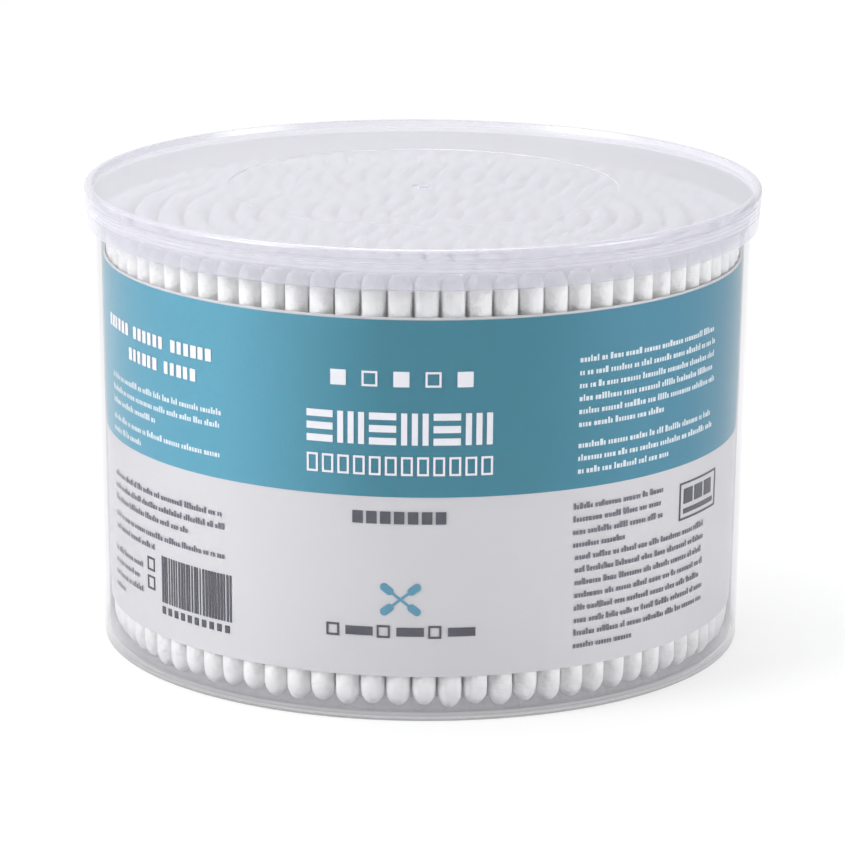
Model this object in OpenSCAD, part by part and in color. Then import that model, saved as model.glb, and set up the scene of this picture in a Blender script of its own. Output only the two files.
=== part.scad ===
// Round clear tub of double-ended cotton swabs with a pull-off lid and a wrapped label.
// It stands on its foot at the origin, and the front of the print looks along -Y.

/* [Swabs] */
// Length of a swab over both cotton tips
swab_len = 74; // [68:0.5:80]
// Width of a cotton tip
tip_d = 4.15; // [3.6:0.05:4.8]
// Length of a cotton tip
tip_len = 14; // [11:0.5:18]
// Length of the rounded nose of a tip
nose_len = 2.7; // [2:0.1:4]
// Cotton past the end of the stick
tip_cover = 1.5; // [1:0.1:2.5]
// Width of the stick
stick_d = 2.2; // [1.6:0.1:2.6]
// Space between the stick and the cotton wound on it
stick_fit = 0.05; // [0.04:0.01:0.08]
// Rings of swabs that stand round the middle one
rings = 12; // [9:1:14]
// Gap between one ring of tips and the next
ring_gap = 0.21; // [0.12:0.01:0.4]
// Gap between the tips of one ring
swab_gap = 0.1; // [0.06:0.01:0.2]
// How far a swab may stand above its neighbours
swab_rise = 0.6; // [0.2:0.1:1.5]

/* [Tub] */
// Outward slope of the wall, in degrees
tub_draft = 0.73; // [0.3:0.01:1.2]
// Thickness of the wall
tub_wall = 1; // [0.8:0.05:1.4]
// Gap between the swabs and the floor
stand_gap = 0.1; // [0.05:0.01:0.15]
// Height of the floor that the swabs stand on
floor_t = 1.2; // [1:0.1:2]
// Height of the hollow under the floor, inside the foot
foot_rise = 0.4; // [0.2:0.05:0.6]
// Width of the foot ring
foot_w = 2.4; // [1.6:0.1:4]
// Rounding where the foot meets the wall
foot_round = 0.6; // [0.4:0.1:1.2]
// Rounding between the floor and the wall inside
floor_round = 0.5; // [0.3:0.1:0.7]
// Space from the tips of the swabs to the top of the rim
head_room = 2.9; // [2.4:0.1:5]
// How far the rim's bead stands out of the wall
bead = 0.3; // [0.15:0.05:0.5]
// Height of the rim's bead
bead_h = 0.8; // [0.6:0.1:1.2]
// Height of the thicker collar that carries the bead
collar_h = 1.6; // [1.4:0.1:2.4]

/* [Lid] */
// Thickness of the skirt at its top
lid_wall = 1.1; // [0.9:0.05:1.5]
// Height of the skirt below the panel
skirt_h = 4.8; // [3.5:0.1:7]
// How much slimmer the skirt is at its lower edge
skirt_taper = 0.45; // [0.2:0.05:0.6]
// Chamfers at the skirt's lower edge and under the panel
skirt_edge = 0.3; // [0.2:0.05:0.3]
// Fine grooves that run round the skirt
grooves = 4; // [1:1:4]
// Depth of a groove
groove_d = 0.1; // [0.06:0.02:0.14]
// Step from one groove to the next
groove_step = 0.75; // [0.6:0.05:0.85]
// Drop from the top of the rim to the first groove
groove_drop = 1.7; // [1.4:0.1:1.7]
// Thickness of the panel
panel_t = 1.1; // [0.8:0.1:1.6]
// How far the rim stands above the panel
rim_rise = 1; // [0.5:0.1:2]
// Width of the rim on top
rim_w = 1.5; // [1.3:0.1:2.5]
// Rounding of the lid's outer edge
rim_round = 0.7; // [0.4:0.1:1]
// Gap between the skirt and the tub's bead
lid_gap = 0.35; // [0.25:0.05:0.5]
// Gap between the panel and the tub's rim
seat_gap = 0.3; // [0.2:0.05:0.4]
// Radius of the mark where the plastic was let in
gate_r = 1.9; // [1:0.1:3]
// Radius of the shallow step in the panel
step_r = 34; // [25:1:40]
// Depth of the step and of the gate mark
step_t = 0.12; // [0.06:0.02:0.2]

/* [Label] */
// Space between the label and the wall, which holds the print
label_gap = 0.35; // [0.3:0.05:0.5]
// Thickness of the label
label_t = 0.25; // [0.15:0.05:0.4]
// Gap between the label and the tips beside it
label_clear = 0.12; // [0.08:0.02:0.3]
// Height of the tips that show under the label
label_low = 6.2; // [4:0.1:9]
// Height of the label
label_h = 61.3; // [60.5:0.1:64]
// Height of the coloured band
band_h = 29.9; // [28.5:0.1:31]
// Bare edge above the band
band_margin = 0.4; // [0.2:0.1:1]
// Gap where the two ends of the label meet at the back
seam = 0.6; // [0.3:0.1:2]
// Thickness of a layer of print
ink_t = 0.1; // [0.08:0.01:0.12]
// Space under a layer of print
ink_gap = 0.03; // [0.02:0.005:0.04]

/* [Print] */
// Left edge of the left column, measured round the label from its front
left_from = -71; // [-74:0.5:-68]
// Right edge of the left column
left_to = -33.5; // [-36:0.5:-30]
// Middle of the centre block
centre_at = -3.3; // [-6:0.1:0]
// Width of the centre block
centre_w = 31.6; // [28:0.1:34]
// Left edge of the right column
right_from = 26; // [24:0.5:29]
// Right edge of the right column
right_to = 62; // [58:0.5:64]
// Height of a small line of print
line_h = 1.2; // [1:0.05:1.4]
// Step from one small line to the next
line_step = 2.2; // [1.9:0.05:2.4]
// Step from one word to the next in a small line
word_step = 5.2; // [4:0.1:7]
// Drop from the top of the band to the left column's text
left_drop = 17.2; // [16:0.1:17.5]
// Drop from the top of the band to the right column's text
right_drop = 6.6; // [5:0.1:7]
// Drop from one text to the note under it
note_drop = 7.3; // [7:0.1:7.5]
// Lines of text under the band in the right column
right_lines = 12; // [8:1:12]
// Drop from the top of the band to the heading of the left column
heading_drop = 10.1; // [9:0.1:11]
// Height of a heading's blocks
heading_h = 2.1; // [1.6:0.1:2.4]
// Width of a heading's widest blocks
heading_w = 1.3; // [1:0.05:1.4]
// Step from one block of a heading to the next
heading_step = 1.7; // [1.55:0.05:1.75]
// How far the second row of the heading is set in
second_in = 10; // [6:0.5:12]
// Gap between the heading's two rows
heading_lead = 1.9; // [1.4:0.1:2.4]
// Drop from the top of the band to the row of small squares
mark_drop = 11.2; // [10:0.1:12]
// Width of a small square
mark_w = 2.6; // [2:0.1:3]
// Step from one small square to the next
mark_step = 5.2; // [4:0.1:6]
// Drop from the top of the band to the headline
head_drop = 15.6; // [14.5:0.1:16]
// Height of the blocks of the headline
head_h = 5.4; // [4.5:0.1:6]
// Gap between the blocks of the headline
head_gap = 0.8; // [0.5:0.1:1.2]
// Gap between the headline and the open frames
frame_lead = 2; // [1.4:0.1:2.4]
// Gap between the open frames
frame_gap = 0.7; // [0.5:0.1:0.9]
// Height of the open frames under the headline
frame_h = 3.2; // [2.6:0.1:3.6]
// Width of a fine stroke
stroke = 0.35; // [0.3:0.05:0.5]
// Drop from the band to the left column's text under it
dark_drop = 4.8; // [4:0.1:5]
// Drop from the band to the right column's text under it
right_dark_drop = 1.8; // [1.4:0.1:2.4]
// Rise from the label's edge to the top of the lowest text at the left
low_rise = 12.6; // [11:0.1:13]
// Width of the lowest text at the left
low_w = 13.5; // [12:0.1:14]
// Rise from the label's edge to the top of the stripes
stripes_rise = 14.4; // [13:0.1:14.6]
// Width of the field of stripes at the left
stripes_w = 17.6; // [14:0.1:19]
// Height of the field of stripes
stripes_h = 8.2; // [6:0.1:9]
// Height of the dashes under the stripes
dash_h = 1.3; // [1:0.1:1.5]
// Gap between the stripes and the dashes under them
dash_gap = 0.7; // [0.4:0.1:1]
// Width of the open squares beside the stripes
square_w = 2.4; // [2:0.1:2.6]
// Step from one open square to the next
square_step = 3.3; // [2.8:0.1:3.6]
// How far the open squares are set in
square_in = 15.2; // [14.2:0.1:16]
// Rise from the label's edge to the open squares
square_rise = 7.6; // [6:0.1:9]
// Drop from the band to the row of blocks under it
spec_drop = 4.6; // [4:0.1:6]
// Width of a block of that row
spec_w = 1.75; // [1.4:0.05:2]
// Height of that row
spec_h = 2.1; // [1.6:0.1:2.4]
// Step from one block of that row to the next
spec_step = 2.3; // [2.1:0.1:2.6]
// Rise from the label's edge to the lowest row of the centre
check_rise = 6.7; // [5:0.1:7]
// Height of that row
check_h = 2.2; // [1.8:0.1:2.4]
// Step from one square of that row to the next
check_step = 8.6; // [8:0.1:9]
// Width of a bar of that row
check_bar_w = 4.6; // [4:0.1:5]
// How far a bar is lower than the square beside it
check_in = 0.35; // [0.2:0.05:0.5]
// Drop from the band to the framed box's lower edge
box_drop = 9.8; // [9:0.1:11]
// How far the framed box reaches past the right column
box_out = 1.5; // [0.5:0.1:2]
// Room between the framed box and what is in it
box_in = 1.3; // [1:0.1:1.6]
// Width of the framed box at the right
box_w = 13; // [10:0.1:14]
// Height of the framed box
box_h = 6.6; // [5:0.1:7]
// Rise from the label's edge to the middle of the emblem
emblem_rise = 13.4; // [12.5:0.1:15]
// Width of the emblem of two crossed swabs
emblem_w = 8; // [6:0.1:9]

/* [Hidden] */
$fn = 96;
flare = tan(tub_draft);
ring_step = tip_d + ring_gap;
outer_ring_r = rings * ring_step;
stand_z = floor_t + stand_gap;
tub_h = stand_z + swab_len + head_room;
tub_in_r = outer_ring_r + tip_d / 2 + label_clear + label_t + label_gap;
tub_r = tub_in_r + tub_wall;
lid_in_r = tub_r + tub_h * flare + bead + lid_gap;
lid_r = lid_in_r + lid_wall;
panel_low = tub_h + seat_gap;
panel_top = panel_low + panel_t;
lid_top = panel_top + rim_rise;
skirt_low = panel_low - skirt_h;
panel_r = lid_r - rim_w;
label_z = stand_z + label_low - stand_gap;
label_top = label_z + label_h;
band_top = label_top - band_margin;
band_z = band_top - band_h;
ink_1 = ink_gap;
ink_2 = ink_1 + ink_t + ink_gap;
print_r = tub_in_r - label_gap + (label_z + label_h / 2) * flare;
box_z = band_z - box_drop;
box_from = right_to + box_out - box_w;

function two(n) = n < 10 ? str("0", n) : str(n);
RING_NODES = [for (part = ["sticks", "upper_tips", "lower_tips"], ring = [0 : rings])
    str(part, "_ring_", two(ring))];

// A value from 0 to 1 that looks random but is the same each time
function scatter(a, b) = let (v = sin(a * 127.1 + b * 311.7) * 43758.5453) v - floor(v);

// Radii of the drafted wall and of the label's outer face, at a height
function tub_out(z) = tub_r + z * flare;
function tub_in(z) = tub_in_r + z * flare;
function label_out(z) = tub_in(z) - label_gap;

// Angle round the label that a distance along it takes
function turn(along) = along / print_r * 180 / PI;

// Points of a quarter round about a centre, between two angles
function quarter(r, z, size, from, to) = [for (i = [0 : 4])
    let (a = from + (to - from) * i / 4) [r + size * cos(a), z + size * sin(a)]];

module tub() {
    bead_z = tub_h - bead_h;
    collar_z = tub_h - collar_h;
    color([0.90, 0.91, 0.95, 0.35]) rotate_extrude($fn = 180) polygon(concat(
        [[0, foot_rise], [tub_r - foot_round - foot_w, foot_rise]],
        [[tub_r - foot_round - foot_w + foot_rise, 0]],
        quarter(tub_r - foot_round, foot_round, foot_round, -90, 0),
        [[tub_out(collar_z), collar_z], [tub_out(collar_z) + bead / 2, collar_z + bead / 2],
         [tub_out(bead_z) + bead / 2, bead_z], [tub_out(bead_z) + bead, bead_z + bead / 2],
         [tub_out(tub_h) + bead, tub_h - bead / 2], [tub_out(tub_h) + bead / 2, tub_h],
         [tub_in(tub_h), tub_h]],
        quarter(tub_in(floor_t) - floor_round, floor_t + floor_round, floor_round, 0, -90),
        [[0, floor_t]]));
}

// Radius of the skirt's outer face at a height
function skirt_out(z) = lid_r - skirt_taper * (lid_top - rim_round - z) / (lid_top - rim_round - skirt_low);

module lid() {
    edge_r = skirt_out(skirt_low + skirt_edge);
    nub_r = gate_r / 2;
    color([0.92, 0.92, 0.97, 0.35]) rotate_extrude($fn = 180) polygon(concat(
        [[0, panel_low], [lid_in_r - skirt_edge, panel_low], [lid_in_r, panel_low - skirt_edge],
         [lid_in_r, skirt_low], [edge_r - skirt_edge, skirt_low], [edge_r, skirt_low + skirt_edge]],
        [for (k = [grooves - 1 : -1 : 0], side = [-1, 0, 1])
            let (z = lid_top - groove_drop - k * groove_step + side * groove_d)
                [skirt_out(z) - (side == 0 ? groove_d : 0), z]],
        quarter(lid_r - rim_round, lid_top - rim_round, rim_round, 0, 90),
        [[panel_r + rim_rise / 4, lid_top], [panel_r, panel_top],
         [step_r + step_t, panel_top], [step_r, panel_top - step_t],
         [gate_r, panel_top - step_t], [gate_r, panel_top - 2 * step_t],
         [nub_r, panel_top - 2 * step_t], [nub_r, panel_top], [0, panel_top]]));
}

// A sheet that follows the wall: from one height to another, between two offsets from the label's face
module wrap(from_z, to_z, inner, outer, angle) {
    rotate_extrude(angle = angle, $fn = 180) polygon([
        [label_out(from_z) + inner, from_z], [label_out(from_z) + outer, from_z],
        [label_out(to_z) + outer, to_z], [label_out(to_z) + inner, to_z]]);
}

module label() {
    open = turn(seam);
    color([0.89, 0.88, 0.92]) rotate([0, 0, 90 + open / 2])
        wrap(label_z, label_top, -label_t, 0, 360 - open);
}

module label_band() {
    open = turn(seam);
    color([0.27, 0.56, 0.64]) rotate([0, 0, 90 + open / 2])
        wrap(band_z, band_top, ink_1, ink_1 + ink_t, 360 - open);
}

// A patch of ink whose lower left corner is given round and up the label
module patch(along, z, w, h, layer) {
    rotate([0, 0, turn(along) - 90]) wrap(z, z + h, layer, layer + ink_t, turn(w));
}

// The outline of a patch
module outline(along, z, w, h, layer) {
    difference() {
        patch(along, z, w, h, layer);
        rotate([0, 0, turn(along + stroke) - 90])
            wrap(z + stroke, z + h - stroke, layer - ink_gap, layer + 2 * ink_t, turn(w - 2 * stroke));
    }
}

// A line of small words
module words(from, to, z, h, layer, line) {
    count = floor((to - from) / word_step);
    for (k = [0 : count - 1])
        patch(from + k * word_step, z, word_step * (0.5 + 0.38 * scatter(k, line)), h, layer);
}

// Some lines of small words, counted down from the top one, with the last one short
module lines(from, to, top, count, layer, seed) {
    for (i = [0 : count - 1]) {
        short = i == count - 1 ? 2 : floor(2.6 * scatter(i, seed + 0.5));
        words(from, to - short * word_step, top - line_h - i * line_step, line_h, layer, seed + i);
    }
}

// A row of equal bars, counted from the left
module bars(from, z, w, h, step, count, layer) {
    for (k = [0 : count - 1]) patch(from + k * step, z, w, h, layer);
}

// A row of blocks of several widths, with a gap after each group
module blocks(from, z, count, group, layer) {
    for (k = [0 : count - 1])
        if ((k + 1) % group != 0)
            patch(from + k * heading_step, z, heading_w * (0.75 + 0.25 * scatter(k, count)), heading_h,
                layer);
}

// A square of three bars that lie or stand
module weave(at, z, w, h, layer, lying) {
    thin = 0.22;
    if (lying)
        for (k = [0 : 2]) patch(at, z + k * h * (1 - thin) / 2, w, h * thin, layer);
    else
        bars(at, z, w * thin, h, w * (1 - thin) / 2, 3, layer);
}

module light_marks() {
    layer = ink_2;
    heading_z = band_top - heading_drop;
    second_z = heading_z - heading_h - heading_lead;
    mark_z = band_top - mark_drop;
    head_z = band_top - head_drop - head_h;
    head_count = 6;
    head_step = centre_w / head_count;
    frame_z = head_z - frame_lead - frame_h;
    frame_count = 12;
    frame_step = centre_w / frame_count;
    centre_from = centre_at - centre_w / 2;
    color([0.96, 0.96, 0.98]) {
        blocks(left_from, heading_z, 20, 7, layer);
        blocks(left_from + second_in, second_z, 12, 7, layer);
        for (k = [-2 : 2]) {
            if (k % 2 == 0)
                patch(centre_at + k * mark_step - mark_w / 2, mark_z, mark_w, mark_w, layer);
            else
                outline(centre_at + k * mark_step - mark_w / 2, mark_z, mark_w, mark_w, layer);
        }
        for (k = [0 : head_count - 1])
            weave(centre_from + k * head_step, head_z, head_step - head_gap, head_h, layer, k % 2 == 0);
        for (k = [0 : frame_count - 1])
            outline(centre_from + k * frame_step, frame_z, frame_step - frame_gap, frame_h, layer);
    }
}

module light_text() {
    layer = ink_2;
    color([0.90, 0.92, 0.95]) {
        lines(left_from, left_to, band_top - left_drop, 3, layer, 3);
        lines(left_from, left_to, band_top - left_drop - note_drop, 2, layer, 9);
        lines(right_from, right_to, band_top - right_drop, 6, layer, 17);
        lines(right_from, right_to, band_top - right_drop - 2 * note_drop, 3, layer, 26);
    }
}

module dark_marks() {
    layer = ink_1;
    square_z = label_z + square_rise;
    stripes_z = label_z + stripes_rise - stripes_h;
    stripes_from = left_to - stripes_w;
    stripe_count = 26;
    stripe_step = stripes_w / stripe_count;
    dash_count = 10;
    dash_step = stripes_w / dash_count;
    dash_z = stripes_z - dash_gap - dash_h;
    spec_count = 7;
    spec_z = band_z - spec_drop;
    check_z = label_z + check_rise;
    check_w = check_step - 2 * check_in;
    box_step = (box_w - 2 * box_in) / 3;
    color([0.25, 0.25, 0.31]) {
        for (row = [0 : 1])
            outline(left_from + square_in, square_z + row * square_step, square_w, square_w, layer);
        for (k = [0 : stripe_count - 1])
            patch(stripes_from + k * stripe_step, stripes_z, stripe_step * (0.3 + 0.45 * scatter(k, 5)),
                stripes_h, layer);
        bars(stripes_from, dash_z, dash_step * 0.55, dash_h, dash_step, dash_count, layer);
        bars(centre_at - spec_count * spec_step / 2, spec_z, spec_w, spec_h, spec_step, spec_count, layer);
        for (k = [-1 : 1]) {
            at = centre_at + k * check_step - check_w / 2;
            outline(at, check_z, check_h, check_h, layer);
            patch(at + check_w - check_bar_w, check_z + check_in, check_bar_w, check_h - 2 * check_in, layer);
        }
        outline(box_from, box_z, box_w, box_h, layer);
        bars(box_from + box_in, box_z + box_h * 0.42, box_step * 0.8, box_h * 0.4, box_step, 3, layer);
        patch(box_from + box_in, box_z + box_h * 0.16, box_w - 2 * box_in, box_h * 0.13, layer);
    }
}

module dark_text() {
    layer = ink_1;
    left_top = band_z - dark_drop;
    low_top = label_z + low_rise;
    right_top = band_z - right_dark_drop;
    color([0.38, 0.38, 0.43]) {
        lines(left_from, left_to, left_top, 3, layer, 31);
        lines(left_from, left_to, left_top - note_drop, 2, layer, 35);
        lines(left_from, left_from + low_w, low_top, 4, layer, 41);
        for (i = [0 : right_lines - 1]) {
            z = right_top - line_h - i * line_step;
            room = z + line_h < box_z ? right_to - right_from : box_from - right_from;
            words(right_from, right_from + room * (0.6 + 0.4 * scatter(i, 7)), z, line_h, layer, 50 + i);
        }
    }
}

// The flat shape of a swab, lying along X
module swab_figure(w) {
    tip_r = w * 0.085;
    tip_l = w * 0.14;
    square([w * 0.8, stroke * 1.2], center = true);
    for (side = [-1, 1]) translate([side * w * 0.36, 0]) {
        square([tip_l, 2 * tip_r], center = true);
        for (end = [-1, 1]) translate([end * tip_l / 2, 0]) circle(r = tip_r, $fn = 32);
    }
}

module emblem() {
    emblem_z = label_z + emblem_rise;
    color([0.33, 0.56, 0.66]) intersection() {
        rotate([0, 0, turn(centre_at - emblem_w) - 90])
            wrap(emblem_z - emblem_w, emblem_z + emblem_w, ink_1, ink_1 + ink_t, turn(2 * emblem_w));
        rotate([0, 0, turn(centre_at)]) translate([0, -print_r / 2, emblem_z]) rotate([90, 0, 0])
            linear_extrude(height = print_r) for (lean = [-38, 38]) rotate(lean) swab_figure(emblem_w);
    }
}

// Angle, radius, outward lean and rise of a swab in its ring
function ring_r(ring) = ring * ring_step;
function ring_count(ring) = ring == 0 ? 1 : floor(2 * PI * ring_r(ring) / (tip_d + swab_gap));
function ring_lean(ring) = atan(flare * ring_r(ring) / outer_ring_r);

// Stands the child as each swab of a ring stands
module stand(ring) {
    count = ring_count(ring);
    for (k = [0 : count - 1])
        rotate([0, 0, ring * 137.5 + k * 360 / count])
            translate([ring_r(ring), 0, stand_z + swab_rise * scatter(k, ring)])
                rotate([0, ring_lean(ring), 0]) children();
}

// One wound cotton tip with its nose down at the origin, a little flat at its very end
module cotton_tip() {
    bore_r = stick_d / 2 + stick_fit;
    neck_r = bore_r + 0.45;
    flat_r = tip_d * 0.12;
    color([0.97, 0.97, 0.96]) rotate_extrude($fn = 24) polygon(concat(
        [[0, 0], [flat_r, 0]],
        [for (a = [30 : 30 : 90]) [tip_d / 2 * sin(a), nose_len * (1 - cos(a))]],
        [[tip_d / 2, tip_len * 0.62], [neck_r, tip_len - 0.3], [bore_r, tip_len],
         [bore_r, tip_cover], [0, tip_cover]]));
}

module sticks(ring) {
    end = tip_cover + stick_fit;
    color([0.93, 0.93, 0.92]) stand(ring)
        translate([0, 0, end]) cylinder(d = stick_d, h = swab_len - 2 * end, $fn = 24);
}

module lower_tips(ring) {
    stand(ring) cotton_tip();
}

module upper_tips(ring) {
    stand(ring) translate([0, 0, swab_len]) mirror([0, 0, 1]) cotton_tip();
}

tub();
lid();
label();
label_band();
light_marks();
light_text();
dark_marks();
dark_text();
emblem();
for (ring = [0 : rings]) {
    sticks(ring);
    upper_tips(ring);
    lower_tips(ring);
}
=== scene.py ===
# Round clear tub of cotton swabs with a pull-off lid and a wrapped label.
# The frame's nodes give the places; this add-on gives the tub, the label and the swabs their looks.

import math
import random

import bpy
from mathutils import Matrix, Vector


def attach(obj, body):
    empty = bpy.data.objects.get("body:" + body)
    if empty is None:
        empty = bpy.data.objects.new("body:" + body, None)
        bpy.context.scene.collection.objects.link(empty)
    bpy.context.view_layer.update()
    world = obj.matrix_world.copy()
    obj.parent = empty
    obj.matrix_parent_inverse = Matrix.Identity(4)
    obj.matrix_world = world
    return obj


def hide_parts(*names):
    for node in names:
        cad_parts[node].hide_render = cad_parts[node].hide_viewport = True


bl_info = {
    "name": "Tub of Cotton Swabs",
    "version": (1, 0, 0),
    "blender": (4, 5, 0),
    "location": "View3D > Sidebar > Swab Tub",
    "description": "Models a round clear tub of cotton swabs and its studio",
    "category": "Object",
}

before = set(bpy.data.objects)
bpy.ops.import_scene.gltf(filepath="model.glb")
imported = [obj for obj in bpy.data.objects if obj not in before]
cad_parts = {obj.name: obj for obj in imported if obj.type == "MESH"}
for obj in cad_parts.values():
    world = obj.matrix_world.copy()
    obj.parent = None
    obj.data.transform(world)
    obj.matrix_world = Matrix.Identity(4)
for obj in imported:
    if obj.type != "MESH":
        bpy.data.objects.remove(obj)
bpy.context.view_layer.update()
LENGTH = {"unit": "LENGTH", "subtype": "DISTANCE"}


def linear(code):
    """An sRGB hex colour as linear red, green, blue and alpha."""
    parts = [int(code[i:i + 2], 16) / 255 for i in (1, 3, 5)]
    return [p / 12.92 if p <= 0.04045 else ((p + 0.055) / 1.055) ** 2.4 for p in parts] + [1.0]


def length(name, description, mm):
    """A length of the object, given in millimetres and kept in metres."""
    return bpy.props.FloatProperty(
        name=name, description=description, default=mm / 1000, precision=5, **LENGTH)


def colour(name, description, code):
    """A colour that the user can change, given as sRGB hex."""
    return bpy.props.FloatVectorProperty(
        name=name, description=description, default=linear(code), size=4, subtype="COLOR", min=0, max=1)


class SwabTubSizes(bpy.types.PropertyGroup):
    """Sizes of the swabs, the tub, the lid and the label."""

    swab_len: length("Swab length", "Length of a swab over both cotton tips", 74)
    tip_d: length("Tip width", "Width of a cotton tip", 4.15)
    tip_len: length("Tip length", "Length of a cotton tip", 14)
    nose_len: length("Nose length", "Length of a tip's rounded nose", 2.7)
    rings: bpy.props.IntProperty(
        name="Rings", description="Rings round the middle swab", default=12, min=1, max=12)
    ring_gap: length("Ring gap", "Gap between one ring of tips and the next", 0.21)
    swab_gap: length("Swab gap", "Gap between the tips of a ring", 0.1)
    swab_rise: length("Swab rise", "How far a swab may stand above its neighbours", 0.6)
    tub_draft: bpy.props.FloatProperty(
        name="Draft", description="Outward slope of the wall", default=math.radians(0.73), subtype="ANGLE")
    tub_wall: length("Wall", "Thickness of the tub's wall", 1)
    floor_t: length("Floor", "Height of the floor that the swabs stand on", 1.2)
    stand_gap: length("Standing gap", "Gap between the floor and the lowest tips", 0.1)
    foot_rise: length("Foot hollow", "Height of the hollow under the floor", 0.4)
    foot_w: length("Foot width", "Width of the foot ring", 2.4)
    foot_round: length("Foot rounding", "Rounding where the foot meets the wall", 0.6)
    floor_round: length("Floor rounding", "Rounding between floor and wall inside", 0.5)
    head_room: length("Head room", "Space from the tips to the top of the rim", 2.9)
    bead: length("Bead", "How far the rim's bead stands out", 0.3)
    bead_h: length("Bead height", "Height of the rim's bead", 0.8)
    collar_h: length("Collar height", "Height of the collar that carries the bead", 1.6)
    lid_wall: length("Skirt thickness", "Thickness of the lid's skirt", 1.1)
    skirt_h: length("Skirt height", "Height of the skirt below the panel", 4.8)
    skirt_taper: length("Skirt taper", "How much slimmer the skirt is at its edge", 0.45)
    skirt_edge: length("Skirt edge", "Chamfer of the skirt's lower edge", 0.3)
    grooves: bpy.props.IntProperty(
        name="Grooves", description="Fine grooves round the skirt", default=4, min=1, max=4)
    groove_d: length("Groove depth", "Depth of a groove in the skirt", 0.1)
    groove_step: length("Groove step", "Step from one groove to the next", 0.75)
    groove_drop: length("Groove drop", "Drop from the top of the rim to the first groove", 1.7)
    panel_t: length("Panel thickness", "Thickness of the lid's panel", 1.1)
    rim_rise: length("Rim rise", "How far the lid's rim stands above the panel", 1)
    rim_w: length("Rim width", "Width of the lid's rim", 1.5)
    rim_round: length("Rim rounding", "Rounding of the lid's outer edge", 0.7)
    lid_gap: length("Lid gap", "Gap between the skirt and the bead", 0.35)
    seat_gap: length("Seat gap", "Gap between the panel and the tub's rim", 0.3)
    gate_r: length("Gate radius", "Radius of the mark where the plastic was let in", 1.9)
    step_r: length("Step radius", "Radius of the panel's shallow step", 34)
    step_t: length("Step depth", "Depth of the step and the gate mark", 0.12)
    label_gap: length("Label gap", "Space between the label and the wall", 0.35)
    label_t: length("Label thickness", "Thickness of the label", 0.25)
    label_clear: length("Label clearance", "Gap between the label and the tips", 0.12)
    label_low: length("Label rise", "Height of the tips that show under the label", 6.2)
    label_h: length("Label height", "Height of the label", 61.3)
    band_h: length("Band height", "Height of the coloured band", 29.9)
    band_margin: length("Band margin", "Bare edge above the band", 0.4)
    seam: length("Seam", "Gap where the ends of the label meet", 0.6)
    line_step: length("Line step", "Step from one small line to the next", 2.2)
    left_from: length("Left column's left", "Distance round the label from its front", -71)
    left_to: length("Left column's right", "Distance round the label from its front", -33.5)
    right_from: length("Right column's left", "Distance round the label from its front", 26)
    right_to: length("Right column's right", "Distance round the label from its front", 62)
    left_drop: length("Left drop", "Drop from the band's top to the left text", 17.2)
    right_drop: length("Right drop", "Drop from the band's top to the right text", 6.6)
    note_drop: length("Note drop", "Drop from a text to the note under it", 7.3)
    left_dark_drop: length("Left dark drop", "Drop from the band to the left dark text", 4.8)
    left_low_rise: length("Left low rise", "Rise from the label's edge to the left low text's top", 12.6)
    right_dark_drop: length("Right dark drop", "Drop from the band to the right dark text", 1.8)
    right_dark_over: length("Right dark overhang", "How far that text goes past its column's middle", 3)
    right_low_drop: length("Right low drop", "Drop from the band to the right low text", 10.6)
    right_low_short: length("Right low margin", "How far that text stays from its column's right", 2)


class SwabTubColours(bpy.types.PropertyGroup):
    """Colours of the plastics, papers, inks and cotton."""

    haze: colour("Haze", "Milky veil in the moulded plastic", "#EDECF1")
    cotton: colour("Cotton", "Bleached cotton", "#F6F6F5")
    stick: colour("Stick", "White rolled paper", "#EDEDEA")
    paper: colour("Label", "Coated label paper", "#D2D1D3")
    # Painted light: the field's ends are made lighter than its middle, where the lamps at the left and the
    # right fall
    band_left_painted_light: colour("Band, left", "Teal field at the left", "#4B9CB4")
    band: colour("Band", "Teal field in the middle", "#167B90")
    band_right_painted_light: colour("Band, right", "Teal field at the right", "#33839C")
    light_ink: colour("Light marks", "Marks left white in the field", "#F2F2F6")
    light_text: colour("Light text", "Small text left white in the field", "#DDEBF1")
    dark_ink: colour("Dark marks", "Dark grey ink", "#484853")
    dark_text: colour("Dark text", "Small text in dark grey ink", "#72727C")
    emblem: colour("Emblem", "Blue-green ink", "#4F93AD")
    tub_face: colour("Tub, face", "What the tub's plastic lets through, face on", "#FEFEFE")
    tub_side: colour("Tub, side", "What the tub's plastic lets through at its sides", "#E6E6E8")
    lid_face: colour("Lid, face", "What the lid's plastic lets through, face on", "#F1F1F4")
    lid_side: colour("Lid, side", "What the lid's plastic lets through at its sides", "#E2E2E8")
    floor: colour("Floor", "Pale studio floor", "#E8E8EA")
    floor_shade: colour("Floor, shaded", "Share of the seen floor that takes the tub's shadow", "#8B8B8C")


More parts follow.
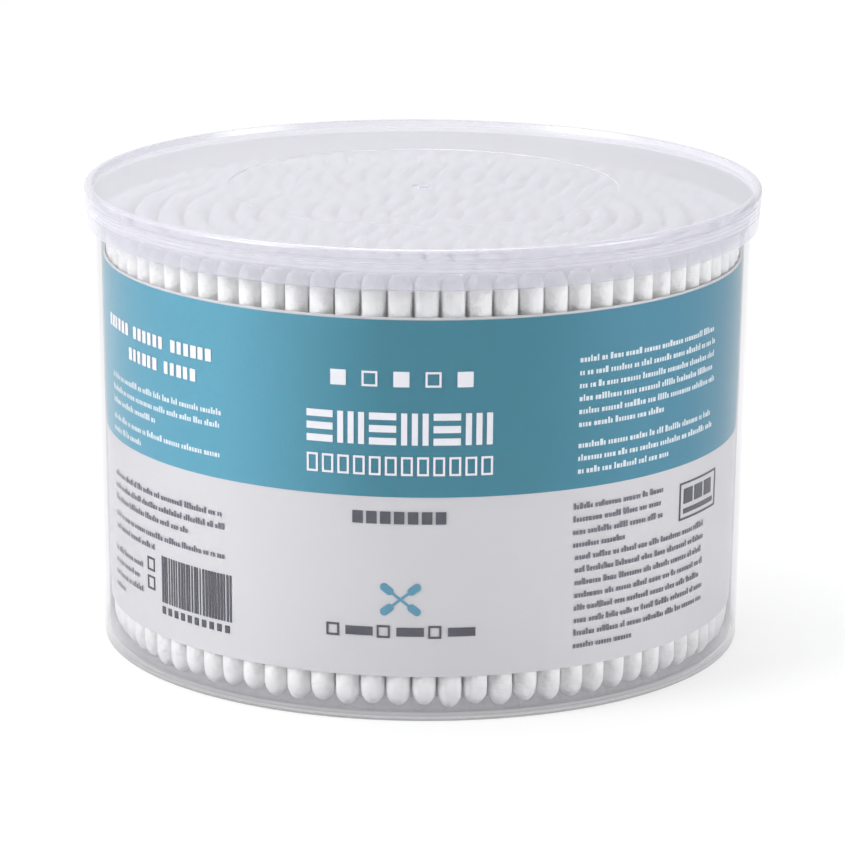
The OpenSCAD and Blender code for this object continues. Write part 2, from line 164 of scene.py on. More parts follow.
class Plan:
    """Radii and heights that follow from the sizes, in metres."""

    def __init__(self, s):
        self.flare = math.tan(s.tub_draft)
        self.ring_step = s.tip_d + s.ring_gap
        self.outer_ring = s.rings * self.ring_step
        self.stand_z = s.floor_t + s.stand_gap
        self.tub_h = self.stand_z + s.swab_len + s.head_room
        self.tub_in = self.outer_ring + s.tip_d / 2 + s.label_clear + s.label_t + s.label_gap
        self.tub_out = self.tub_in + s.tub_wall
        self.lid_in = self.tub_out + self.tub_h * self.flare + s.bead + s.lid_gap
        self.lid_out = self.lid_in + s.lid_wall
        self.panel_low = self.tub_h + s.seat_gap
        self.panel_top = self.panel_low + s.panel_t
        self.lid_top = self.panel_top + s.rim_rise
        self.skirt_low = self.panel_low - s.skirt_h
        self.label_face = self.tub_in - s.label_gap
        self.label_z = s.floor_t + s.label_low
        self.label_top = self.label_z + s.label_h
        self.band_top = self.label_top - s.band_margin
        self.band_z = self.band_top - s.band_h
        self.print_r = self.label_out(self.label_z + s.label_h / 2)
        self.rim_low = self.lid_top - s.rim_round
        self.skirt_slope = s.skirt_taper / (self.rim_low - self.skirt_low)

    def wall_out(self, z):
        """Radius of the wall's outer face at a height."""
        return self.tub_out + z * self.flare

    def label_out(self, z):
        """Radius of the label's outer face at a height."""
        return self.label_face + z * self.flare

    def skirt_out(self, z):
        """Radius of the skirt's outer face at a height."""
        return self.lid_out - (self.rim_low - z) * self.skirt_slope


def sizes():
    """The chosen sizes and what follows from them."""
    s = bpy.context.scene.swab_tub_sizes
    return s, Plan(s)


def colours():
    """The chosen colours."""
    return bpy.context.scene.swab_tub_colours


# Selecting and finishing pieces

def start_piece():
    """Leaves edit mode and deselects everything."""
    if bpy.context.object and bpy.context.object.mode != "OBJECT":
        bpy.ops.object.mode_set(mode="OBJECT")
    bpy.ops.object.select_all(action="DESELECT")


def named(name):
    """Names the object just made and returns it."""
    piece = bpy.context.object
    piece.name = piece.data.name = name
    return piece


def only(piece):
    """Makes a piece the only selected one."""
    start_piece()
    piece.select_set(True)
    bpy.context.view_layer.objects.active = piece


def joined(pieces, name):
    """One piece made of several."""
    start_piece()
    for piece in pieces:
        piece.select_set(True)
    bpy.context.view_layer.objects.active = pieces[0]
    if len(pieces) > 1:
        bpy.ops.object.join()
    return named(name)


def dress(piece, body, material, nodes=(), angle=40):
    """Gives a finished piece its shading, material and body, and hides the nodes it stands for."""
    only(piece)
    bpy.ops.object.shade_smooth_by_angle(angle=math.radians(angle))
    piece.data.materials.clear()
    piece.data.materials.append(material)
    if nodes:
        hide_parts(*nodes)
    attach(piece, body)


def dress_node(name, material):
    """Gives a node that stays as it is a better material."""
    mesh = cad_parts[name].data
    mesh.materials.clear()
    mesh.materials.append(material)


# Round pieces

MERGE = 1e-6
ROUND_STEPS = 256


def arc(r, z, size, start, end, steps=6):
    """Points of an arc about a centre, from one angle to another, in degrees."""
    turns = [math.radians(start + (end - start) * i / steps) for i in range(steps + 1)]
    return [(r + size * math.cos(a), z + size * math.sin(a)) for a in turns]


def spun(name, profile, steps, turn=2 * math.pi, closed=False, start=0.0):
    """A round piece: half its outline, as radii and heights, is drawn and spun round the axis."""
    start_piece()
    bpy.ops.mesh.primitive_plane_add(size=0.001)
    piece = named(name)
    bpy.ops.object.mode_set(mode="EDIT")
    bpy.ops.mesh.select_mode(type="VERT")
    bpy.ops.mesh.merge(type="CENTER")
    bpy.ops.transform.translate(value=(profile[0][0], 0, profile[0][1]))
    for (r, z), (next_r, next_z) in zip(profile, profile[1:]):
        bpy.ops.mesh.extrude_vertices_move(TRANSFORM_OT_translate={"value": (next_r - r, 0, next_z - z)})
    if closed:
        bpy.ops.mesh.select_all(action="DESELECT")
        bpy.ops.object.mode_set(mode="OBJECT")
        for v in (piece.data.vertices[0], piece.data.vertices[-1]):
            v.select = True
        bpy.ops.object.mode_set(mode="EDIT")
        bpy.ops.mesh.edge_face_add()
    bpy.ops.mesh.select_all(action="SELECT")
    bpy.ops.mesh.spin(steps=steps, angle=turn, center=(0, 0, 0), axis=(0, 0, 1), use_auto_merge=False)
    bpy.ops.mesh.select_all(action="SELECT")
    bpy.ops.mesh.remove_doubles(threshold=MERGE)
    if turn < 2 * math.pi:
        bpy.ops.mesh.fill_holes(sides=len(profile))
        bpy.ops.mesh.select_all(action="SELECT")
    bpy.ops.mesh.normals_make_consistent(inside=False)
    bpy.ops.object.mode_set(mode="OBJECT")
    if start:
        piece.rotation_euler = (0, 0, start)
        bpy.ops.object.transform_apply(location=False, rotation=True, scale=False)
    return piece


# Materials

def add(tree, kind, settings=None, inputs=None):
    """Adds a shader node, sets its properties, and sets or links its inputs."""
    node = tree.nodes.new(kind)
    for key, value in (settings or {}).items():
        setattr(node, key, value)
    for key, value in (inputs or {}).items():
        if isinstance(value, bpy.types.NodeSocket):
            tree.links.new(value, node.inputs[key])
        else:
            node.inputs[key].default_value = value
    return node


def new_material(name):
    """An empty node material, its tree and its output."""
    material = bpy.data.materials.new(name)
    material.use_nodes = True
    tree = material.node_tree
    tree.nodes.clear()
    return material, tree, tree.nodes.new("ShaderNodeOutputMaterial")


def bump(tree, height, depth):
    """Bump of a depth in metres."""
    return add(tree, "ShaderNodeBump", {}, {"Height": height, "Distance": depth}).outputs[0]


def tinted(tree, base, shade):
    """A colour multiplied by another colour or a grey value."""
    return add(tree, "ShaderNodeMix", {"data_type": "RGBA", "blend_type": "MULTIPLY"}, {
        "Factor": 1.0, 6: base, 7: shade}).outputs[2]


def larger(tree, a, b):
    """The larger of two values."""
    return add(tree, "ShaderNodeMath", {"operation": "MAXIMUM"}, {0: a, 1: b}).outputs[0]


def along(tree, axis, stops):
    """A colour that changes along an axis of the object: pairs of a place and a colour or a grey value."""
    place = add(tree, "ShaderNodeTexCoord").outputs["Object"]
    at = add(tree, "ShaderNodeSeparateXYZ", {}, {0: place}).outputs[axis]
    low, high = stops[0][0], stops[-1][0]
    share = add(tree, "ShaderNodeMapRange", {}, {"Value": at, 1: low, 2: high}).outputs[0]
    ramp = add(tree, "ShaderNodeValToRGB", {}, {"Fac": share})
    steps = ramp.color_ramp.elements
    while len(steps) < len(stops):
        steps.new(0.5)
    for step, (where, value) in zip(steps, stops):
        step.position = (where - low) / (high - low)
        step.color = (value, value, value, 1) if isinstance(value, (int, float)) else value
    return ramp.outputs[0]


# How much polystyrene mirrors face on, and how steeply that grows to nearly all at a grazing look
FACE_GLOSS = 0.035
SIDE_GLOSS = 0.9
GLOSS_POWER = 5.0


def clear_plastic(name, face, side, roughness, hazes, shade_greys):
    """Moulded polystyrene: clear, a little milky, with a gloss that grows towards its edges.

    The colours are what it lets through face on and at its sides. Hazes and painted shade change with height:
    pairs of a height and the share of milk, or a grey of painted shade that darkens what shows through.
    """
    material, tree, out = new_material(name)
    facing = add(tree, "ShaderNodeLayerWeight", {}, {"Blend": 0.5}).outputs["Facing"]
    rise = add(tree, "ShaderNodeMath", {"operation": "POWER"}, {0: facing, 1: GLOSS_POWER}).outputs[0]
    mirror = add(tree, "ShaderNodeMath", {"operation": "MULTIPLY_ADD"}, {
        0: rise, 1: SIDE_GLOSS, 2: FACE_GLOSS}).outputs[0]
    # Only outer faces shine, so that a wall's two faces don't shine twice
    back = add(tree, "ShaderNodeNewGeometry").outputs["Backfacing"]
    front = add(tree, "ShaderNodeMath", {"operation": "SUBTRACT"}, {0: 1.0, 1: back}).outputs[0]
    shine = add(tree, "ShaderNodeMath", {"operation": "MULTIPLY"}, {0: mirror, 1: front}).outputs[0]
    tint = add(tree, "ShaderNodeMix", {"data_type": "RGBA"}, {"Factor": facing, 6: face, 7: side}).outputs[2]
    # Painted shade: a grey that changes with height darkens what shows through
    tint = tinted(tree, tint, along(tree, "Z", shade_greys))
    clear = add(tree, "ShaderNodeBsdfTransparent", {}, {"Color": tint}).outputs[0]
    milk = add(tree, "ShaderNodeBsdfDiffuse", {}, {"Color": colours().haze}).outputs[0]
    body = add(tree, "ShaderNodeMixShader", {}, {0: along(tree, "Z", hazes), 1: clear, 2: milk}).outputs[0]
    gloss = add(tree, "ShaderNodeBsdfAnisotropic", {}, {
        "Color": (1, 1, 1, 1), "Roughness": roughness}).outputs[0]
    surface = add(tree, "ShaderNodeMixShader", {}, {0: shine, 1: body, 2: gloss}).outputs[0]
    tree.links.new(surface, out.inputs["Surface"])
    return material


def wound_cotton():
    """Bleached cotton wound on a stick: matt, soft, with the lay of its fibres across the tip."""
    material, tree, out = new_material("wound_bleached_cotton")
    place = add(tree, "ShaderNodeTexCoord").outputs["Object"]
    # Fibres lie round the tip, so the pattern is drawn out sideways: 1.5 mm long and 0.3 mm high
    lay = add(tree, "ShaderNodeMapping", {}, {"Vector": place, "Scale": (700, 700, 3000)}).outputs[0]
    fibres = add(tree, "ShaderNodeTexNoise", {}, {"Vector": lay, "Scale": 1.0, "Detail": 3.0}).outputs[0]
    # Tufts are about 2.4 mm wide
    tufts = add(tree, "ShaderNodeTexNoise", {}, {"Vector": place, "Scale": 420.0, "Detail": 2.0}).outputs[0]
    rough = bump(tree, tufts, 0.0005)
    fine = add(tree, "ShaderNodeBump", {}, {
        "Height": fibres, "Distance": 0.00012, "Normal": rough}).outputs[0]
    shade = add(tree, "ShaderNodeMapRange", {}, {
        "Value": tufts, 1: 0.3, 2: 0.7, 3: 0.94, 4: 1.0}).outputs[0]
    shader = add(tree, "ShaderNodeBsdfPrincipled", {}, {
        "Base Color": tinted(tree, colours().cotton, shade), "Roughness": 0.95,
        "Specular IOR Level": 0.2, "Sheen Weight": 0.25, "Sheen Roughness": 0.5, "Normal": fine})
    tree.links.new(shader.outputs[0], out.inputs["Surface"])
    return material


def printed_paper(name, ink, roughness=0.45, mottle=0.03):
    """Coated paper or a layer of ink on it: smooth and satin, with faint mottling of the print.

    The ink is one colour, or a list of places along X with their colours.
    """
    material, tree, out = new_material(name)
    if isinstance(ink, list):
        ink = along(tree, "X", ink)
    place = add(tree, "ShaderNodeTexCoord").outputs["Object"]
    # Press mottle is about 0.4 mm wide
    grain = add(tree, "ShaderNodeTexNoise", {}, {
        "Vector": place, "Scale": 2500.0, "Detail": 2.0}).outputs[0]
    # The sheet waves a little over about 25 mm
    waves = add(tree, "ShaderNodeTexNoise", {}, {"Vector": place, "Scale": 40.0, "Detail": 1.0}).outputs[0]
    shade = add(tree, "ShaderNodeMapRange", {}, {
        "Value": grain, 1: 0.3, 2: 0.7, 3: 1.0 - mottle, 4: 1.0 + mottle}).outputs[0]
    shader = add(tree, "ShaderNodeBsdfPrincipled", {}, {
        "Base Color": tinted(tree, ink, shade), "Roughness": roughness, "Specular IOR Level": 0.15,
        "Normal": bump(tree, waves, 0.0002)})
    tree.links.new(shader.outputs[0], out.inputs["Surface"])
    return material


def rolled_paper():
    """White rolled paper of the sticks, with the faint grain of its winding."""
    material, tree, out = new_material("rolled_paper_stick")
    place = add(tree, "ShaderNodeTexCoord").outputs["Object"]
    turns = add(tree, "ShaderNodeTexWave", {"bands_direction": "Z"}, {
        "Vector": place, "Scale": 300.0, "Distortion": 1.0}).outputs[1]
    shader = add(tree, "ShaderNodeBsdfPrincipled", {}, {
        "Base Color": colours().stick, "Roughness": 0.7, "Normal": bump(tree, turns, 0.00004)})
    tree.links.new(shader.outputs[0], out.inputs["Surface"])
    return material


# Pieces

class SWABTUB_OT_tub(bpy.types.Operator):
    """Models the clear drafted tub"""

    bl_idname = "swab_tub.tub"
    bl_label = "Tub"

    def execute(self, context):
        s, p = sizes()
        c = colours()
        foot_in = p.tub_out - s.foot_round - s.foot_w
        bead_z, collar_z = p.tub_h - s.bead_h, p.tub_h - s.collar_h
        half = s.bead / 2
        profile = [(0, s.foot_rise), (foot_in, s.foot_rise), (foot_in + s.foot_rise, 0)]
        profile += arc(p.tub_out - s.foot_round, s.foot_round, s.foot_round, -90, 0)
        profile += [(p.wall_out(collar_z), collar_z), (p.wall_out(collar_z) + half, collar_z + half)]
        profile += [(p.wall_out(bead_z) + half, bead_z), (p.wall_out(bead_z) + s.bead, bead_z + half)]
        profile += [(p.wall_out(p.tub_h) + s.bead, p.tub_h - half), (p.wall_out(p.tub_h) + half, p.tub_h)]
        profile += [(p.tub_in + p.tub_h * p.flare, p.tub_h)]
        corner_r = p.tub_in + s.floor_t * p.flare - s.floor_round
        profile += arc(corner_r, s.floor_t + s.floor_round, s.floor_round, 0, -90)
        profile += [(0, s.floor_t)]
        tub = spun("tub_shell", profile, ROUND_STEPS)
        # Painted shade: grey bands darken what shows through the foot and the floor's edge, for refraction
        # lines and contact shadow
        foot, foot_top, hollow, floor_low, floor_mid = 0.62, 0.86, 0.7, 0.88, 0.84
        shade_greys = [(0, foot), (0.0004, foot), (0.0006, foot_top), (0.0009, foot_top), (0.0011, hollow),
                 (0.0014, floor_low), (0.0018, floor_mid), (0.0022, 1)]
        # The wall is milky only near the floor, where the plastic is thick
        clear_haze = 0.012
        hazes = [(0, 0.1), (s.floor_t, 0.15), (0.0045, 0.13), (0.0065, clear_haze), (p.tub_h, clear_haze)]
        material = clear_plastic("moulded_clear_polystyrene", c.tub_face, c.tub_side, 0.06, hazes, shade_greys)
        dress(tub, "tub", material, ["tub"])
        return {"FINISHED"}


class SWABTUB_OT_lid(bpy.types.Operator):
    """Models the lid with its sunk panel, raised rim and skirt"""

    bl_idname = "swab_tub.lid"
    bl_label = "Lid"

    def execute(self, context):
        s, p = sizes()
        c = colours()
        edge_r = p.skirt_out(p.skirt_low + s.skirt_edge)
        rim_in = p.lid_out - s.rim_w
        deep = p.panel_top - s.step_t
        profile = [(0, p.panel_low), (p.lid_in - s.skirt_edge, p.panel_low)]
        profile += [(p.lid_in, p.panel_low - s.skirt_edge), (p.lid_in, p.skirt_low)]
        profile += [(edge_r - s.skirt_edge, p.skirt_low), (edge_r, p.skirt_low + s.skirt_edge)]
        for k in reversed(range(s.grooves)):
            z, g = p.lid_top - s.groove_drop - k * s.groove_step, s.groove_d
            profile += [(p.skirt_out(z - g), z - g), (p.skirt_out(z) - g, z), (p.skirt_out(z + g), z + g)]
        profile += arc(p.lid_out - s.rim_round, p.rim_low, s.rim_round, 0, 90)
        profile += [(rim_in + s.rim_rise / 4, p.lid_top), (rim_in, p.panel_top)]
        profile += [(s.step_r + s.step_t, p.panel_top), (s.step_r, deep)]
        profile += [(s.gate_r, deep), (s.gate_r, deep - s.step_t), (s.gate_r / 2, deep - s.step_t)]
        profile += [(s.gate_r / 2, p.panel_top), (0, p.panel_top)]
        lid = spun("lid_shell", profile, ROUND_STEPS)
        # The skirt's lower half is thinner and clearer than its upper half, and the panel is in between
        clearer_to, milky_from = p.skirt_low + 0.0025, p.skirt_low + 0.0033
        skirt_haze, panel_haze = 0.35, 0.27
        hazes = [(p.skirt_low, 0.22), (clearer_to, 0.24), (milky_from, skirt_haze),
                 (p.panel_low - 0.0002, skirt_haze), (p.panel_low, panel_haze), (p.lid_top, panel_haze)]
        plain = [(0, 1), (p.lid_top, 1)]
        material = clear_plastic("moulded_milky_polystyrene", c.lid_face, c.lid_side, 0.26, hazes, plain)
        dress(lid, "lid", material, ["lid"])
        return {"FINISHED"}


class SWABTUB_OT_label(bpy.types.Operator):
    """Models the wrapped label and its teal field"""

    bl_idname = "swab_tub.label"
    bl_label = "Label"

    def execute(self, context):
        s, p = sizes()
        c = colours()
        # Painted light: the field is made lighter towards its sides, most at the left under the key lamp,
        # less at the right
        left_to, mid_from, mid_to, right_from = -0.032, -0.006, 0.02, 0.036
        field = [(-p.tub_out, c.band_left_painted_light), (left_to, c.band_left_painted_light), (mid_from, c.band), (mid_to, c.band),
                 (right_from, c.band_right_painted_light), (p.tub_out, c.band_right_painted_light)]
        ink_low, ink_high = 0.00003, 0.0001
        open_turn = s.seam / p.print_r
        for name, low, top, inner, outer, slot, material, node in (
            ("label_sheet", p.label_z, p.label_top, -s.label_t, 0, "label_paper",
             printed_paper("coated_label_paper", c.paper, 0.55, 0.015), "label"),
            ("label_field", p.band_z, p.band_top, ink_low, ink_high, "band_ink",
             printed_paper("teal_ink_with_painted_light", field, 0.55, 0.07), "label_band"),
        ):
            profile = [(p.label_out(z) + offset, z)
                       for z, offset in ((low, inner), (low, outer), (top, outer), (top, inner))]
            # The ends meet at the back, a quarter turn from where the outline is drawn
            piece = spun(name, profile, ROUND_STEPS, 2 * math.pi - open_turn, True, (math.pi + open_turn) / 2)
            dress(piece, "tub", material, [node])
        return {"FINISHED"}


class SWABTUB_OT_marks(bpy.types.Operator):
    """Gives the printed marks and the emblem their inks"""

    bl_idname = "swab_tub.marks"
    bl_label = "Printed Marks"

    def execute(self, context):
        c = colours()
        dress_node("light_marks", printed_paper("white_mark_ink", c.light_ink, 0.45, 0.02))
        dress_node("dark_marks", printed_paper("dark_mark_ink", c.dark_ink, 0.45, 0.05))
        dress_node("emblem", printed_paper("emblem_ink", c.emblem, 0.45, 0.04))
        return {"FINISHED"}


# A small line of print is a grid of cells: six rows, of which the lowest is the gap under the line
CELL = 0.0002
ROWS_PER_LINE = 6
WORD_LETTERS = (2, 9)
LETTER_WIDTHS = (2, 2, 3)
LETTER_HEIGHTS = (2, 2, 2, 3)
LAST_LINE_SHARE = (0.3, 0.75)
SHORTEST_WORD = 6


def letter_pattern(columns, seed, full=True):
    """Columns of a line of text that hold ink, with the number of rows each fills."""
    dice = random.Random(seed)
    filled = {}
    at = 0
    end = columns if full else int(columns * dice.uniform(*LAST_LINE_SHARE))
    while at < end - SHORTEST_WORD:
        for _ in range(dice.randint(*WORD_LETTERS)):
            wide = dice.choice(LETTER_WIDTHS)
            tall = dice.choice(LETTER_HEIGHTS)
            if at + wide > end:
                break
            for column in range(at, at + wide):
                filled[column] = tall
            at += wide + 1
        at += 2
    return filled


def text_block(name, left, right, top, count, p, s, seed):
    """Lines of small blocks in the rhythm of words, cut from a grid and pressed on to the label."""
    columns = round((right - left) / CELL)
    rows = ROWS_PER_LINE * count
    width, height = right - left, s.line_step * count
    turn = (left + right) / 2 / p.print_r
    before_label = 0.001
    reach = p.print_r + before_label
    start_piece()
    bpy.ops.mesh.primitive_grid_add(
        x_subdivisions=columns, y_subdivisions=rows, size=1,
        location=(reach * math.sin(turn), -reach * math.cos(turn), top - height / 2),
        rotation=(math.pi / 2, 0, turn))
    block = named(name)
    block.scale = (width, height, 1)
    bpy.ops.object.mode_set(mode="EDIT")
    bpy.ops.mesh.select_mode(type="FACE")
    bpy.ops.mesh.select_all(action="DESELECT")
    bpy.ops.object.mode_set(mode="OBJECT")
    lines = [letter_pattern(columns, seed + i, i < count - 1) for i in range(count)]
    for face in block.data.polygons:
        column = int((face.center.x + 0.5) * columns)
        row = int((0.5 - face.center.y) * rows)
        up = ROWS_PER_LINE - 1 - row % ROWS_PER_LINE
        face.select = lines[row // ROWS_PER_LINE].get(column, 0) < up or up == 0
    bpy.ops.object.mode_set(mode="EDIT")
    bpy.ops.mesh.delete(type="FACE")
    bpy.ops.object.mode_set(mode="OBJECT")
    bpy.ops.object.transform_apply(location=True, rotation=True, scale=True)
    press = block.modifiers.new("press", "SHRINKWRAP")
    press.target = bpy.data.objects["label_sheet"]
    press.wrap_method = "NEAREST_SURFACEPOINT"
    press.wrap_mode = "ABOVE_SURFACE"
    press.offset = 0.00015
    bpy.ops.object.modifier_apply(modifier=press.name)
    return block


class SWABTUB_OT_text(bpy.types.Operator):
    """Models the small lines of text as rows of plain blocks"""

    bl_idname = "swab_tub.text"
    bl_label = "Lines of Text"

    def execute(self, context):
        s, p = sizes()
        c = colours()
        left, right, mid = s.left_from, s.right_from, (s.right_from + s.right_to) / 2
        left_top, right_top = p.band_top - s.left_drop, p.band_top - s.right_drop
        light = [
            text_block("left_text", left, s.left_to, left_top, 3, p, s, 10),
            text_block("left_note", left, s.left_to, left_top - s.note_drop, 2, p, s, 20),
            text_block("right_text", right, s.right_to, right_top, 6, p, s, 30),
            text_block("right_note", right, s.right_to, right_top - 2 * s.note_drop, 3, p, s, 40),
        ]
        left_top, right_top = p.band_z - s.left_dark_drop, p.band_z - s.right_dark_drop
        left_low, right_low = p.label_z + s.left_low_rise, p.band_z - s.right_low_drop
        left_low_w = 0.0135
        dark = [
            text_block("left_dark_text", left, s.left_to, left_top, 3, p, s, 50),
            text_block("left_dark_note", left, s.left_to, left_top - s.note_drop, 2, p, s, 60),
            text_block("left_low_text", left, left + left_low_w, left_low, 4, p, s, 70),
            text_block("right_top_text", right, mid + s.right_dark_over, right_top, 4, p, s, 80),
            text_block("right_low_text", right, s.right_to - s.right_low_short, right_low, 8, p, s, 90),
        ]
        for name, blocks, ink, slot, node in (
            ("light_text_lines", light, c.light_text, "white_ink", "light_text"),
            ("dark_text_lines", dark, c.dark_text, "dark_ink", "dark_text"),
        ):
            piece = joined(blocks, name)
            dress(piece, "tub", printed_paper(f"{node}_ink", ink, 0.45, 0.02), [node])
        return {"FINISHED"}


def scatter(a, b):
    """A value from 0 to 1 that looks random but is the same each time, and the same as in the solids."""
    v = math.sin(math.radians(a * 127.1 + b * 311.7)) * 43758.5453
    return v - math.floor(v)


# Each ring starts this many degrees on from the last, so that no rows line up
RING_TURN = 137.5


def ring_places(ring, s, p):
    """Where the swabs of a ring stand: one matrix each, with the lower nose at the origin."""
    r = ring * p.ring_step
    count = 1 if ring == 0 else math.floor(2 * math.pi * r / (s.tip_d + s.swab_gap))
    lean = math.atan(p.flare * r / p.outer_ring)
    return [
        Matrix.Rotation(math.radians(ring * RING_TURN + k * 360 / count), 4, "Z")
        @ Matrix.Translation((r, 0, p.stand_z + s.swab_rise * scatter(k, ring)))
        @ Matrix.Rotation(lean, 4, "Y")
        for k in range(count)
    ]


def tip_shape(name, s, steps, nose_steps, shoulders, seed):
    """One cotton tip with its nose down at the origin, a little uneven as wound cotton is.

    Its shoulders are shares of the tip's half width and of its length.
    """
    r = s.tip_d / 2
    nose = [(r * math.sin(a), s.nose_len * (1 - math.cos(a)))
            for a in (math.pi / 2 * i / nose_steps for i in range(nose_steps + 1))]
    body = [(r * wide, s.tip_len * high) for wide, high in shoulders]
    tip = spun(name, nose + body + [(0, s.tip_len)], steps)
    unevenness = 0.00006
    bpy.ops.object.mode_set(mode="EDIT")
    bpy.ops.mesh.select_all(action="SELECT")
    bpy.ops.transform.vertex_random(offset=unevenness, seed=seed)
    bpy.ops.object.mode_set(mode="OBJECT")
    return tip


class SWABTUB_OT_swabs(bpy.types.Operator):
    """Models the cotton tips, stands them in their rings and gives the sticks their paper"""

    bl_idname = "swab_tub.swabs"
    bl_label = "Swabs"

    def execute(self, context):
        s, p = sizes()
        cotton = wound_cotton()
        paper = rolled_paper()
        # The outermost ring shows most, so its tips have more faces and more shapes
        fine_body = [(1.0, 0.33), (0.985, 0.62), (0.91, 0.82), (0.72, 0.97)]
        plain_body = [(0.98, 0.62), (0.72, 0.97)]
        fine = [tip_shape(f"fine_tip_{i}", s, 16, 4, fine_body, i + 1) for i in range(4)]
        plain = [tip_shape(f"plain_tip_{i}", s, 12, 3, plain_body, i + 1) for i in range(2)]
        least_width = 0.97
        upend = Matrix.Translation((0, 0, s.swab_len)) @ Matrix.Rotation(math.pi, 4, "X")
        for ring in range(s.rings + 1):
            models = fine if ring == s.rings else plain
            for part, turned in (("lower_tips", Matrix.Identity(4)), ("upper_tips", upend)):
                name = f"{part}_ring_{ring:02d}"
                dice = random.Random(name)
                copies = []
                for place in ring_places(ring, s, p):
                    tip = bpy.data.objects.new(name + "_copy", dice.choice(models).data.copy())
                    bpy.context.scene.collection.objects.link(tip)
                    wide = dice.uniform(least_width, 1.0)
                    spin = Matrix.Rotation(dice.uniform(0, 2 * math.pi), 4, "Z")
                    squeeze = Matrix.Diagonal((wide, dice.uniform(least_width, 1.0), 1, 1))
                    tip.data.transform(place @ turned @ spin @ squeeze)
                    copies.append(tip)
                piece = joined(copies, "cotton_" + name)
                dress(piece, "tub", cotton, [name], 70)
            dress_node(f"sticks_ring_{ring:02d}", paper)
        for model in fine + plain:
            bpy.data.objects.remove(model)
        return {"FINISHED"}


def softbox(name, place, aim, size, power):
    """A soft square lamp that looks at a point."""
    start_piece()
    bpy.ops.object.light_add(type="AREA", location=place)
    lamp = bpy.context.object
    lamp.name = name
    lamp.rotation_euler = (aim - Vector(place)).to_track_quat("-Z", "Y").to_euler()
    lamp.data.shape = "RECTANGLE"
    lamp.data.size, lamp.data.size_y = size
    lamp.data.energy = power


def seen_rays(tree):
    """1 for rays that show the background: the camera's, and those in gloss and in clear plastic."""
    ray = add(tree, "ShaderNodeLightPath").outputs
    seen = larger(tree, ray["Is Camera Ray"], ray["Is Glossy Ray"])
    return larger(tree, seen, ray["Is Transmission Ray"])


def white_studio():
    """The world: white behind the part, dim as light, and a room that only the gloss shows."""
    world = bpy.data.worlds.new("white_studio")
    world.use_nodes = True
    tree = world.node_tree
    tree.nodes.clear()
    dim, white = 0.1, 1.0
    strength = add(tree, "ShaderNodeMapRange", {}, {"Value": seen_rays(tree), 3: dim, 4: white}).outputs[0]
    # The room is bright behind the tub and to its left, and dark on the camera's side and to its right
    bright_side = (-0.8, 0.7, 0)
    room_dark, room_bright = 0.12, 0.85
    way = add(tree, "ShaderNodeTexCoord").outputs["Generated"]
    back = add(tree, "ShaderNodeVectorMath", {"operation": "DOT_PRODUCT"}, {
        0: way, 1: bright_side}).outputs[1]
    room = add(tree, "ShaderNodeMapRange", {}, {
        "Value": back, 1: -0.6, 2: 1.0, 3: room_dark, 4: room_bright}).outputs[0]
    gloss = add(tree, "ShaderNodeLightPath").outputs["Is Glossy Ray"]
    strength = add(tree, "ShaderNodeMix", {}, {"Factor": gloss, 2: strength, 3: room}).outputs[0]
    sky = add(tree, "ShaderNodeBackground", {}, {"Color": (1, 1, 1, 1), "Strength": strength}).outputs[0]
    add(tree, "ShaderNodeOutputWorld", {}, {"Surface": sky})
    return world


def matt_floor():
    """A matt floor: pale where light falls on it, and white with the tub's soft shadow where it is seen."""
    material, tree, out = new_material("matt_studio_floor")
    c = colours()
    pale = add(tree, "ShaderNodeBsdfDiffuse", {}, {"Color": c.floor}).outputs[0]
    shaded = add(tree, "ShaderNodeBsdfDiffuse", {}, {"Color": c.floor_shade}).outputs[0]
    glow = add(tree, "ShaderNodeEmission", {}, {"Color": (1, 1, 1, 1), "Strength": 0.7}).outputs[0]
    white = add(tree, "ShaderNodeAddShader", {}, {0: shaded, 1: glow}).outputs[0]
    both = add(tree, "ShaderNodeMixShader", {}, {0: seen_rays(tree), 1: pale, 2: white}).outputs[0]
    tree.links.new(both, out.inputs["Surface"])
    return material


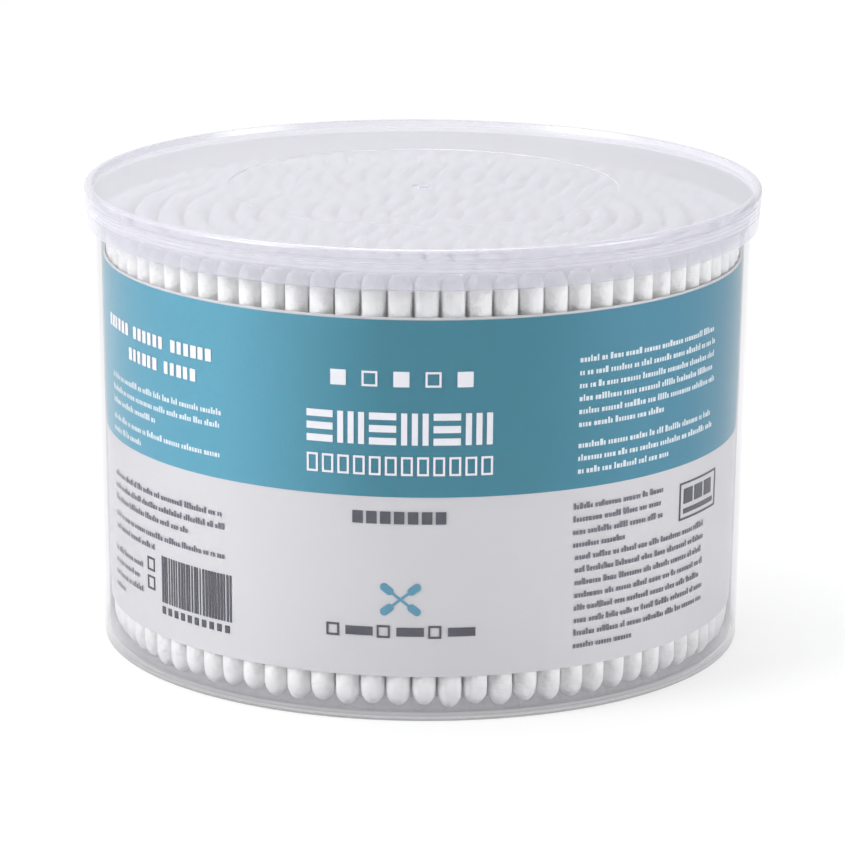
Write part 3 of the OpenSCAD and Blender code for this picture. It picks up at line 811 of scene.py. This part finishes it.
class SWABTUB_OT_stage(bpy.types.Operator):
    """Sets up the camera, the lamps, the pale floor and the white background"""

    bl_idname = "swab_tub.stage"
    bl_label = "Stage"

    def execute(self, context):
        # The camera's place and lens were fitted to the edges of the lid, the tub and the band
        aim = Vector((0, 0, 0.036))
        rise, far = math.radians(14.4287), 0.765
        place = aim + Vector((0, -far * math.cos(rise), far * math.sin(rise)))
        start_piece()
        bpy.ops.object.camera_add(location=place)
        camera = bpy.context.object
        camera.name = "photo_camera"
        # The photograph is turned by a fraction of a degree, and its centre is a few pixels off the axis
        photo_turn = math.radians(0.387)
        photo_size, off_x, off_y = 845, 1.03, 5.35
        look = (aim - place).to_track_quat("-Z", "Y").to_matrix() @ Matrix.Rotation(photo_turn, 3, "Z")
        camera.rotation_euler = look.to_euler()
        camera.data.lens = 184.58
        camera.data.shift_x = off_x / photo_size
        camera.data.shift_y = off_y / photo_size
        context.scene.camera = camera

        softbox("key_softbox", place=(-0.8, -0.4, 0.5), aim=aim, size=(0.5, 0.6), power=11)
        softbox("fill_softbox", place=(1.0, -0.42, 0.28), aim=aim, size=(0.5, 0.6), power=10)
        softbox("top_softbox", place=(-0.1, 0.2, 0.9), aim=aim, size=(0.7, 0.7), power=9.5)
        context.scene.world = white_studio()

        start_piece()
        bpy.ops.mesh.primitive_circle_add(vertices=96, radius=0.5, fill_type="NGON")
        floor = named("studio_floor")
        floor.data.materials.append(matt_floor())

        context.scene.view_settings.view_transform = "Standard"
        return {"FINISHED"}


class SWABTUB_PT_panel(bpy.types.Panel):
    """Lists the pieces of the tub in the sidebar"""

    bl_label = "Swab Tub"
    bl_idname = "SWABTUB_PT_panel"
    bl_space_type = "VIEW_3D"
    bl_region_type = "UI"
    bl_category = "Swab Tub"

    def draw(self, context):
        for operator in OPERATORS:
            self.layout.operator(operator.bl_idname)
        for group in (context.scene.swab_tub_sizes, context.scene.swab_tub_colours):
            box = self.layout.box()
            for key in group.__annotations__:
                box.prop(group, key)


OPERATORS = (
    SWABTUB_OT_stage, SWABTUB_OT_tub, SWABTUB_OT_lid, SWABTUB_OT_label,
    SWABTUB_OT_marks, SWABTUB_OT_text, SWABTUB_OT_swabs,
)
CLASSES = (SwabTubSizes, SwabTubColours, *OPERATORS, SWABTUB_PT_panel)


def register():
    for cls in CLASSES:
        bpy.utils.register_class(cls)
    bpy.types.Scene.swab_tub_sizes = bpy.props.PointerProperty(type=SwabTubSizes)
    bpy.types.Scene.swab_tub_colours = bpy.props.PointerProperty(type=SwabTubColours)


def unregister():
    del bpy.types.Scene.swab_tub_colours
    del bpy.types.Scene.swab_tub_sizes
    for cls in reversed(CLASSES):
        bpy.utils.unregister_class(cls)


def main():
    register()
    bpy.ops.swab_tub.stage()
    bpy.ops.swab_tub.tub()
    bpy.ops.swab_tub.lid()
    bpy.ops.swab_tub.label()
    bpy.ops.swab_tub.marks()
    bpy.ops.swab_tub.text()
    bpy.ops.swab_tub.swabs()
    start_piece()


if __name__ == "__main__":
    main()
